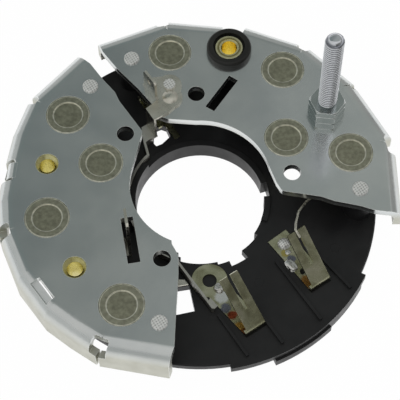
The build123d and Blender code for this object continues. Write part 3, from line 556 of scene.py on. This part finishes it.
def hung_card(place, size):
    """A flat card at a place, square to the line from there to the object."""
    bpy.ops.mesh.primitive_plane_add(size=1.0, location=place)
    card = bpy.context.object
    card.rotation_euler = Vector(place).to_track_quat("Z", "Y").to_euler()
    for vertex in card.data.vertices:
        vertex.co.x *= size[0]
        vertex.co.y *= size[1]
    return card


def back_card():
    """The grey that the flat sheets mirror, darker towards the left and far away."""
    tilt = math.radians(BACK_CARD_ELEVATION)
    card = hung_card(BACK_CARD_DISTANCE * Vector((0, math.cos(tilt), math.sin(tilt))), BACK_CARD_SIZE)
    glowing("back_card", card, (1, -BACK_CARD_SLANT, 0), BACK_CARD_GREYS, BACK_CARD_FADE)


def front_card():
    """The dark that the clips' leaves and the stud's right side mirror."""
    card = hung_card(FRONT_CARD_AT, FRONT_CARD_SIZE)
    glowing("front_card", card, (0, 1, 0), FRONT_CARD_GREYS, FRONT_CARD_SIZE[1] / 2)


def ceiling_card():
    """The soft light grey overhead."""
    card = hung_card((0, 0, CEILING_Z), CEILING_SIZE)
    glowing("ceiling_card", card, (1, 0, 0), CEILING_GREYS, CEILING_SIZE[0] / 4)


def horizon_card():
    """A low grey wall all round, which the bends and leaning faces mirror."""
    bpy.ops.mesh.primitive_cylinder_add(vertices=64, radius=HORIZON_R, depth=HORIZON_HEIGHT,
                                        end_fill_type="NOTHING")
    card = bpy.context.object
    card.location = (0, 0, HORIZON_LIFT + HORIZON_HEIGHT / 2)
    glowing("horizon_card", card, (1, 0, 0), HORIZON_GREYS, HORIZON_R)


def white_stage():
    """The floor and the cards that the metal mirrors."""
    white_floor()
    back_card()
    front_card()
    ceiling_card()
    horizon_card()


def set_world():
    """A white surround that lights the object at half the strength at which it is seen."""
    world = bpy.data.worlds.new("world")
    bpy.context.scene.world = world
    world.use_nodes = True
    tree = world.node_tree
    tree.nodes.clear()
    output = tree.nodes.new("ShaderNodeOutputWorld")
    background = tree.nodes.new("ShaderNodeBackground")
    feed(tree, background.inputs["Color"], (1.0, 1.0, 1.0))
    strength = math_node(tree, "ADD", seen_directly(tree, 1 - WORLD_LIGHT), WORLD_LIGHT)
    feed(tree, background.inputs["Strength"], strength)
    feed(tree, output.inputs["Surface"], background.outputs["Background"])


def area_light(name, place, size, watts):
    """A rectangular lamp aimed at the object, which no reflection shows."""
    data = bpy.data.lights.new(name, "AREA")
    data.shape = "RECTANGLE"
    data.size, data.size_y = size
    data.energy = watts
    light = bpy.data.objects.new(name, data)
    bpy.context.scene.collection.objects.link(light)
    light.location = place
    light.visible_glossy = False
    light.rotation_euler = (LAMP_AIM - Vector(place)).to_track_quat("-Z", "Y").to_euler()


def set_lights():
    """A broad lamp high on the left in front, and a smaller one behind on the right."""
    area_light("key", *KEY_LAMP)
    area_light("side", *SIDE_LAMP)


def thread_radius(turns):
    """Radius of the thread at a place, given in turns along it: flat crests, sloping flanks, flat roots."""
    off_crest = abs(2 * (turns % 1.0) - 1)
    slope = min(max((off_crest - THREAD_CREST) / THREAD_FLANK, 0.0), 1.0)
    return THREAD_R - THREAD_DEPTH * slope


def thread_row(turns):
    """The thread's radii all round the stud at a height, given in turns along it."""
    return [thread_radius(turns - step / STUD_SIDES) for step in range(STUD_SIDES)]


def stud_rows(top):
    """Rows round the stud from the head's underside to the tip's edge: the radii and height of each."""
    head_r, head_low, head_high = STUD_HEAD
    plain = [(head_r - STUD_EASE, head_low), (head_r, head_low + STUD_EASE), (head_r, head_high - STUD_EASE),
             (head_r - STUD_EASE, head_high), (STUD_HELD_R, head_high), (STUD_HELD_R, THREAD_START)]
    rows = [([radius] * STUD_SIDES, height) for radius, height in plain]
    thread_end = top - TIP_CHAMFER
    count = int((thread_end - THREAD_START) / THREAD_PITCH * THREAD_ROWS)
    for row in range(1, count + 1):
        rows.append((thread_row(row / THREAD_ROWS), THREAD_START + row * THREAD_PITCH / THREAD_ROWS))
    for step in range(1, TIP_STEPS + 1):
        share = step / TIP_STEPS
        limit = THREAD_R - share * TIP_CHAMFER
        height = thread_end + share * (TIP_CHAMFER - TIP_EASE)
        radii = thread_row((height - THREAD_START) / THREAD_PITCH)
        rows.append(([min(limit, radius) for radius in radii], height))
    rows.append(([TIP_DOME_SHARE * (THREAD_R - TIP_CHAMFER)] * STUD_SIDES, top - TIP_DOME))
    return rows


def ring_points(centre, radii, height):
    """Points round an upright axis, one for each radius."""
    points = []
    for step, radius in enumerate(radii):
        angle = 2 * math.pi * step / len(radii)
        points.append((centre[0] + radius * math.cos(angle), centre[1] + radius * math.sin(angle), height))
    return points


def ring_faces(rows, around):
    """The four-sided faces between rows of vertices that go round."""
    faces = []
    for row in range(rows - 1):
        for step in range(around):
            a = row * around + step
            b = row * around + (step + 1) % around
            faces.append((a, b, b + around, a + around))
    return faces


def threaded_stud(material):
    """The stud again with a real thread, in place of its plain cylinder."""
    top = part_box("output_stud")[1].z
    head_low = STUD_HEAD[1]
    rows = stud_rows(top)
    vertices = []
    for radii, height in rows:
        vertices += ring_points(STUD_XY, radii, height)
    faces = ring_faces(len(rows), STUD_SIDES)
    foot, peak = len(vertices), len(vertices) + 1
    vertices += [(*STUD_XY, head_low), (*STUD_XY, top)]
    last = (len(rows) - 1) * STUD_SIDES
    for step in range(STUD_SIDES):
        after = (step + 1) % STUD_SIDES
        faces.append((after, step, foot))
        faces.append((last + step, last + after, peak))
    stud = add_piece("threaded_stud", vertices, faces, material)
    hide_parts("output_stud")


def near_flange_share(point):
    """How far a point of the sheet goes with the last flange's second end: 0 not at all, 1 all the way."""
    first, last = NEAR_FLANGE
    length = (last - first).length
    along = (last - first) / length
    outward = Vector((along.y, -along.x))
    place = Vector((point.x / MM, point.y / MM)) - first
    share = place.dot(along) / length
    depth = -place.dot(outward)
    if not 0 < share < NEAR_FLANGE_PAST or depth > NEAR_FLANGE_FADE:
        return 0.0
    if depth <= NEAR_FLANGE_BEND:
        return share
    if share < NEAR_FLANGE_CORNER:
        return 0.0
    return share * (NEAR_FLANGE_FADE - depth) / (NEAR_FLANGE_FADE - NEAR_FLANGE_BEND)


def negative_sheet(frame):
    """The negative sheet again, with its last flange set in towards the sheet's end."""
    node = frame["nodes"]["negative_heat_sink"]
    mesh = node.data.copy()
    mesh.name = "negative_sheet"
    first, last = NEAR_FLANGE
    shift = (NEAR_FLANGE_END - last) * MM
    turn = (NEAR_FLANGE_END - first).angle_signed(last - first)
    shares = [near_flange_share(vertex.co) for vertex in mesh.vertices]
    normals = [Vector(corner.vector) for corner in mesh.corner_normals]
    for loop, normal in zip(mesh.loops, normals):
        if shares[loop.vertex_index] > 0:
            normal.rotate(Euler((0, 0, turn)))
    for vertex, share in zip(mesh.vertices, shares):
        vertex.co.x += share * shift.x
        vertex.co.y += share * shift.y
    mesh.normals_split_custom_set(normals)
    mesh.update()
    sheet = bpy.data.objects.new("negative_sheet", mesh)
    bpy.context.scene.collection.objects.link(sheet)
    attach(sheet, "root")
    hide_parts("negative_heat_sink")


def ejector_mark(name, centre, material):
    """A low raised ring on the deck, half sunk in it."""
    tube = EJECTOR_TUBE
    profile = [(EJECTOR_R - tube, 0.0), (EJECTOR_R - tube / 2, tube / 2), (EJECTOR_R + tube / 2, tube / 2),
               (EJECTOR_R + tube, 0.0)]
    middle = (centre[0] * MM, centre[1] * MM)
    vertices = []
    for radius, rise in profile:
        vertices += ring_points(middle, [radius * MM] * EJECTOR_SIDES, DECK_Z + rise * MM)
    add_piece(name, vertices, ring_faces(len(profile), EJECTOR_SIDES), material)


def solder_blob(name, centre, size, turn, seed, material):
    """A squashed ball of solder with an uneven skin, turned in plan. Sizes in mm, turn in degrees."""
    bpy.ops.mesh.primitive_ico_sphere_add(subdivisions=4, radius=1.0)
    ball = bpy.context.object
    for vertex in ball.data.vertices:
        point = vertex.co.copy()
        lump = noise.noise(point * LUMP_FINENESS + Vector((seed, 0, 0)))
        point *= 1 + LUMP_DEPTH * lump
        shaped = Vector((point.x * size[0], point.y * size[1], point.z * size[2]))
        shaped.rotate(Euler((0, 0, math.radians(turn))))
        vertex.co = (Vector(centre) + shaped) * MM
    ball.name = name
    ball.data.materials.append(material)
    for face in ball.data.polygons:
        face.use_smooth = True
    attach(ball, "root")


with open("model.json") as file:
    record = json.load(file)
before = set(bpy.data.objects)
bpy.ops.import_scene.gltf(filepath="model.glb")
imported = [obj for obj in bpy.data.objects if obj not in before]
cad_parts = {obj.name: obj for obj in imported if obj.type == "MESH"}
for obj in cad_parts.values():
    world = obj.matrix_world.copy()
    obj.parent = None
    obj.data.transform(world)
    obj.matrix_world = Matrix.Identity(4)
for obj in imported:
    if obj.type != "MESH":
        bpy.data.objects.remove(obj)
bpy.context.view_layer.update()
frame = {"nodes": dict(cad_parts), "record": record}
bpy.context.scene.view_settings.view_transform = "Standard"
set_camera()
set_world()
set_lights()
white_stage()
black_ring, bright_stud = ring_plastic(), bright_zinc()
dress(frame, {
    "ring": black_ring, "heat_sink": sink_zinc(), "bus_strip": strip_metal(), "terminal": terminal_tin(),
    "phase_terminal": clip_plating(), "rivet": hatched_rivet(), "insulator": collar_plastic(),
    "brass_bush": bright_brass(), "stud": bright_stud, "nut": nut_zinc(), "diode_cup": cup_plating(),
    "diode_chip": silicon(), "diode_seal": potting(), "lead": terminal_tin(),
}, {"bush_eyelet": eyelet_brass()})
solder_metal = solder()
for number, (centre, size, turn) in enumerate(SOLDER):
    solder_blob(f"solder_{number + 1}", centre, size, turn, 3.0 * number, solder_metal)
threaded_stud(bright_stud)
negative_sheet(frame)
for number, centre in enumerate(EJECTOR_MARKS):
    ejector_mark(f"ejector_mark_{number + 1}", centre, black_ring)
